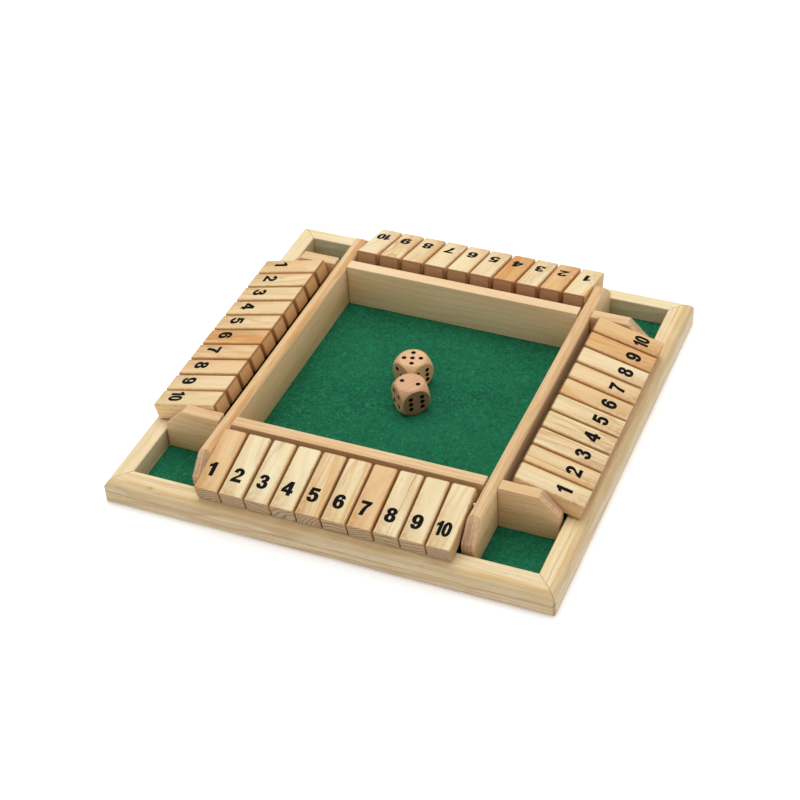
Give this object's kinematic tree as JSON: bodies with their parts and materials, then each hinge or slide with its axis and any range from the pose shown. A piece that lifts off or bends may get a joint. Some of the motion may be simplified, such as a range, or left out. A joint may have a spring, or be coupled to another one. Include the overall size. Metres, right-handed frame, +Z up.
{
  "type": "shut the box game",
  "caption": "Four-sided wooden shut the box game: a square felt-lined tray with a walled dice arena, rows of numbered tiles hinged on steel rods, corner pockets and loose dice.",
  "frame": {"origin": "middle of the tray's underside", "axes": "+Z up, +X towards the right-hand player, +Y towards the back player; the front player sits at -Y"},
  "size_m": [0.285, 0.285, 0.0381],
  "materials": {
    "rail_pine": "sanded, clear satin",
    "wall_pine": "sanded, clear satin",
    "tile_pine": "sanded, clear satin, black painted numbers",
    "plywood": "raw",
    "felt": "napped",
    "steel": "drawn",
    "beech": "sanded, clear satin, black pips"
  },
  "bodies": {
    "tray": {"base_board": "plywood", "felt_sheet": "felt", "rail_front": "rail_pine", "rail_right": "rail_pine", "rail_back": "rail_pine", "rail_left": "rail_pine", "divider_left": "wall_pine", "divider_right": "wall_pine", "cross_wall_front": "wall_pine", "cross_wall_back": "wall_pine", "stub_wall_front_right": "wall_pine", "stub_wall_back_left": "wall_pine", "stub_wall_back_right": "wall_pine", "stub_wall_front_left": "wall_pine", "rod_front": "steel", "rod_right": "steel", "rod_back": "steel", "rod_left": "steel"},
    "tile_front_01": {"tile_front_01": "tile_pine"},
    "tile_front_02": {"tile_front_02": "tile_pine"},
    "tile_front_03": {"tile_front_03": "tile_pine"},
    "tile_front_04": {"tile_front_04": "tile_pine"},
    "tile_front_05": {"tile_front_05": "tile_pine"},
    "tile_front_06": {"tile_front_06": "tile_pine"},
    "tile_front_07": {"tile_front_07": "tile_pine"},
    "tile_front_08": {"tile_front_08": "tile_pine"},
    "tile_front_09": {"tile_front_09": "tile_pine"},
    "tile_front_10": {"tile_front_10": "tile_pine"},
    "tile_right_01": {"tile_right_01": "tile_pine"},
    "tile_right_02": {"tile_right_02": "tile_pine"},
    "tile_right_03": {"tile_right_03": "tile_pine"},
    "tile_right_04": {"tile_right_04": "tile_pine"},
    "tile_right_05": {"tile_right_05": "tile_pine"},
    "tile_right_06": {"tile_right_06": "tile_pine"},
    "tile_right_07": {"tile_right_07": "tile_pine"},
    "tile_right_08": {"tile_right_08": "tile_pine"},
    "tile_right_09": {"tile_right_09": "tile_pine"},
    "tile_right_10": {"tile_right_10": "tile_pine"},
    "tile_back_01": {"tile_back_01": "tile_pine"},
    "tile_back_02": {"tile_back_02": "tile_pine"},
    "tile_back_03": {"tile_back_03": "tile_pine"},
    "tile_back_04": {"tile_back_04": "tile_pine"},
    "tile_back_05": {"tile_back_05": "tile_pine"},
    "tile_back_06": {"tile_back_06": "tile_pine"},
    "tile_back_07": {"tile_back_07": "tile_pine"},
    "tile_back_08": {"tile_back_08": "tile_pine"},
    "tile_back_09": {"tile_back_09": "tile_pine"},
    "tile_back_10": {"tile_back_10": "tile_pine"},
    "tile_left_01": {"tile_left_01": "tile_pine"},
    "tile_left_02": {"tile_left_02": "tile_pine"},
    "tile_left_03": {"tile_left_03": "tile_pine"},
    "tile_left_04": {"tile_left_04": "tile_pine"},
    "tile_left_05": {"tile_left_05": "tile_pine"},
    "tile_left_06": {"tile_left_06": "tile_pine"},
    "tile_left_07": {"tile_left_07": "tile_pine"},
    "tile_left_08": {"tile_left_08": "tile_pine"},
    "tile_left_09": {"tile_left_09": "tile_pine"},
    "tile_left_10": {"tile_left_10": "tile_pine"},
    "die_front": {"die_front": "beech"},
    "die_rear": {"die_rear": "beech"}
  },
  "joints": [
    {"name": "tile_front_01_swing", "type": "hinge", "parent": "tray", "child": "tile_front_01", "pos_m": [-0.07268, -0.1027, 0.0307], "axis": [-1, 0, 0], "range_deg": [0, 153.5]},
    {"name": "tile_front_02_swing", "type": "hinge", "parent": "tray", "child": "tile_front_02", "pos_m": [-0.05652, -0.1027, 0.0307], "axis": [-1, 0, 0], "range_deg": [0, 153.5]},
    {"name": "tile_front_03_swing", "type": "hinge", "parent": "tray", "child": "tile_front_03", "pos_m": [-0.04038, -0.1027, 0.0307], "axis": [-1, 0, 0], "range_deg": [0, 153.5]},
    {"name": "tile_front_04_swing", "type": "hinge", "parent": "tray", "child": "tile_front_04", "pos_m": [-0.02423, -0.1027, 0.0307], "axis": [-1, 0, 0], "range_deg": [0, 153.5]},
    {"name": "tile_front_05_swing", "type": "hinge", "parent": "tray", "child": "tile_front_05", "pos_m": [-0.00808, -0.1027, 0.0307], "axis": [-1, 0, 0], "range_deg": [0, 153.5]},
    {"name": "tile_front_06_swing", "type": "hinge", "parent": "tray", "child": "tile_front_06", "pos_m": [0.00808, -0.1027, 0.0307], "axis": [-1, 0, 0], "range_deg": [0, 153.5]},
    {"name": "tile_front_07_swing", "type": "hinge", "parent": "tray", "child": "tile_front_07", "pos_m": [0.02423, -0.1027, 0.0307], "axis": [-1, 0, 0], "range_deg": [0, 153.5]},
    {"name": "tile_front_08_swing", "type": "hinge", "parent": "tray", "child": "tile_front_08", "pos_m": [0.04038, -0.1027, 0.0307], "axis": [-1, 0, 0], "range_deg": [0, 153.5]},
    {"name": "tile_front_09_swing", "type": "hinge", "parent": "tray", "child": "tile_front_09", "pos_m": [0.05652, -0.1027, 0.0307], "axis": [-1, 0, 0], "range_deg": [0, 153.5]},
    {"name": "tile_front_10_swing", "type": "hinge", "parent": "tray", "child": "tile_front_10", "pos_m": [0.07268, -0.1027, 0.0307], "axis": [-1, 0, 0], "range_deg": [0, 153.5]},
    {"name": "tile_right_01_swing", "type": "hinge", "parent": "tray", "child": "tile_right_01", "pos_m": [0.1027, -0.07268, 0.0307], "axis": [0, -1, 0], "range_deg": [0, 132]},
    {"name": "tile_right_02_swing", "type": "hinge", "parent": "tray", "child": "tile_right_02", "pos_m": [0.1027, -0.05652, 0.0307], "axis": [0, -1, 0], "range_deg": [0, 157.5]},
    {"name": "tile_right_03_swing", "type": "hinge", "parent": "tray", "child": "tile_right_03", "pos_m": [0.1027, -0.04038, 0.0307], "axis": [0, -1, 0], "range_deg": [0, 157.5]},
    {"name": "tile_right_04_swing", "type": "hinge", "parent": "tray", "child": "tile_right_04", "pos_m": [0.1027, -0.02423, 0.0307], "axis": [0, -1, 0], "range_deg": [0, 157.5]},
    {"name": "tile_right_05_swing", "type": "hinge", "parent": "tray", "child": "tile_right_05", "pos_m": [0.1027, -0.00808, 0.0307], "axis": [0, -1, 0], "range_deg": [0, 157.5]},
    {"name": "tile_right_06_swing", "type": "hinge", "parent": "tray", "child": "tile_right_06", "pos_m": [0.1027, 0.00808, 0.0307], "axis": [0, -1, 0], "range_deg": [0, 157.5]},
    {"name": "tile_right_07_swing", "type": "hinge", "parent": "tray", "child": "tile_right_07", "pos_m": [0.1027, 0.02423, 0.0307], "axis": [0, -1, 0], "range_deg": [0, 157.5]},
    {"name": "tile_right_08_swing", "type": "hinge", "parent": "tray", "child": "tile_right_08", "pos_m": [0.1027, 0.04038, 0.0307], "axis": [0, -1, 0], "range_deg": [0, 157.5]},
    {"name": "tile_right_09_swing", "type": "hinge", "parent": "tray", "child": "tile_right_09", "pos_m": [0.1027, 0.05652, 0.0307], "axis": [0, -1, 0], "range_deg": [0, 157.5]},
    {"name": "tile_right_10_swing", "type": "hinge", "parent": "tray", "child": "tile_right_10", "pos_m": [0.1027, 0.07268, 0.0307], "axis": [0, -1, 0], "range_deg": [0, 132]},
    {"name": "tile_back_01_swing", "type": "hinge", "parent": "tray", "child": "tile_back_01", "pos_m": [0.07268, 0.1027, 0.0307], "axis": [1, 0, 0], "range_deg": [0, 153.5]},
    {"name": "tile_back_02_swing", "type": "hinge", "parent": "tray", "child": "tile_back_02", "pos_m": [0.05652, 0.1027, 0.0307], "axis": [1, 0, 0], "range_deg": [0, 153.5]},
    {"name": "tile_back_03_swing", "type": "hinge", "parent": "tray", "child": "tile_back_03", "pos_m": [0.04038, 0.1027, 0.0307], "axis": [1, 0, 0], "range_deg": [0, 153.5]},
    {"name": "tile_back_04_swing", "type": "hinge", "parent": "tray", "child": "tile_back_04", "pos_m": [0.02423, 0.1027, 0.0307], "axis": [1, 0, 0], "range_deg": [0, 153.5]},
    {"name": "tile_back_05_swing", "type": "hinge", "parent": "tray", "child": "tile_back_05", "pos_m": [0.00808, 0.1027, 0.0307], "axis": [1, 0, 0], "range_deg": [0, 153.5]},
    {"name": "tile_back_06_swing", "type": "hinge", "parent": "tray", "child": "tile_back_06", "pos_m": [-0.00808, 0.1027, 0.0307], "axis": [1, 0, 0], "range_deg": [0, 153.5]},
    {"name": "tile_back_07_swing", "type": "hinge", "parent": "tray", "child": "tile_back_07", "pos_m": [-0.02423, 0.1027, 0.0307], "axis": [1, 0, 0], "range_deg": [0, 153.5]},
    {"name": "tile_back_08_swing", "type": "hinge", "parent": "tray", "child": "tile_back_08", "pos_m": [-0.04038, 0.1027, 0.0307], "axis": [1, 0, 0], "range_deg": [0, 153.5]},
    {"name": "tile_back_09_swing", "type": "hinge", "parent": "tray", "child": "tile_back_09", "pos_m": [-0.05652, 0.1027, 0.0307], "axis": [1, 0, 0], "range_deg": [0, 153.5]},
    {"name": "tile_back_10_swing", "type": "hinge", "parent": "tray", "child": "tile_back_10", "pos_m": [-0.07268, 0.1027, 0.0307], "axis": [1, 0, 0], "range_deg": [0, 153.5]},
    {"name": "tile_left_01_swing", "type": "hinge", "parent": "tray", "child": "tile_left_01", "pos_m": [-0.1027, 0.07268, 0.0307], "axis": [0, 1, 0], "range_deg": [0, 132]},
    {"name": "tile_left_02_swing", "type": "hinge", "parent": "tray", "child": "tile_left_02", "pos_m": [-0.1027, 0.05652, 0.0307], "axis": [0, 1, 0], "range_deg": [0, 157.5]},
    {"name": "tile_left_03_swing", "type": "hinge", "parent": "tray", "child": "tile_left_03", "pos_m": [-0.1027, 0.04038, 0.0307], "axis": [0, 1, 0], "range_deg": [0, 157.5]},
    {"name": "tile_left_04_swing", "type": "hinge", "parent": "tray", "child": "tile_left_04", "pos_m": [-0.1027, 0.02423, 0.0307], "axis": [0, 1, 0], "range_deg": [0, 157.5]},
    {"name": "tile_left_05_swing", "type": "hinge", "parent": "tray", "child": "tile_left_05", "pos_m": [-0.1027, 0.00808, 0.0307], "axis": [0, 1, 0], "range_deg": [0, 157.5]},
    {"name": "tile_left_06_swing", "type": "hinge", "parent": "tray", "child": "tile_left_06", "pos_m": [-0.1027, -0.00808, 0.0307], "axis": [0, 1, 0], "range_deg": [0, 157.5]},
    {"name": "tile_left_07_swing", "type": "hinge", "parent": "tray", "child": "tile_left_07", "pos_m": [-0.1027, -0.02423, 0.0307], "axis": [0, 1, 0], "range_deg": [0, 157.5]},
    {"name": "tile_left_08_swing", "type": "hinge", "parent": "tray", "child": "tile_left_08", "pos_m": [-0.1027, -0.04038, 0.0307], "axis": [0, 1, 0], "range_deg": [0, 157.5]},
    {"name": "tile_left_09_swing", "type": "hinge", "parent": "tray", "child": "tile_left_09", "pos_m": [-0.1027, -0.05652, 0.0307], "axis": [0, 1, 0], "range_deg": [0, 157.5]},
    {"name": "tile_left_10_swing", "type": "hinge", "parent": "tray", "child": "tile_left_10", "pos_m": [-0.1027, -0.07268, 0.0307], "axis": [0, 1, 0], "range_deg": [0, 132]},
    {"name": "die_front_lift", "type": "slide", "parent": "tray", "child": "die_front", "axis": [0, 0, 1], "range_m": [0, 0.06]},
    {"name": "die_rear_lift", "type": "slide", "parent": "tray", "child": "die_rear", "axis": [0, 0, 1], "range_m": [0, 0.06]}
  ]
}
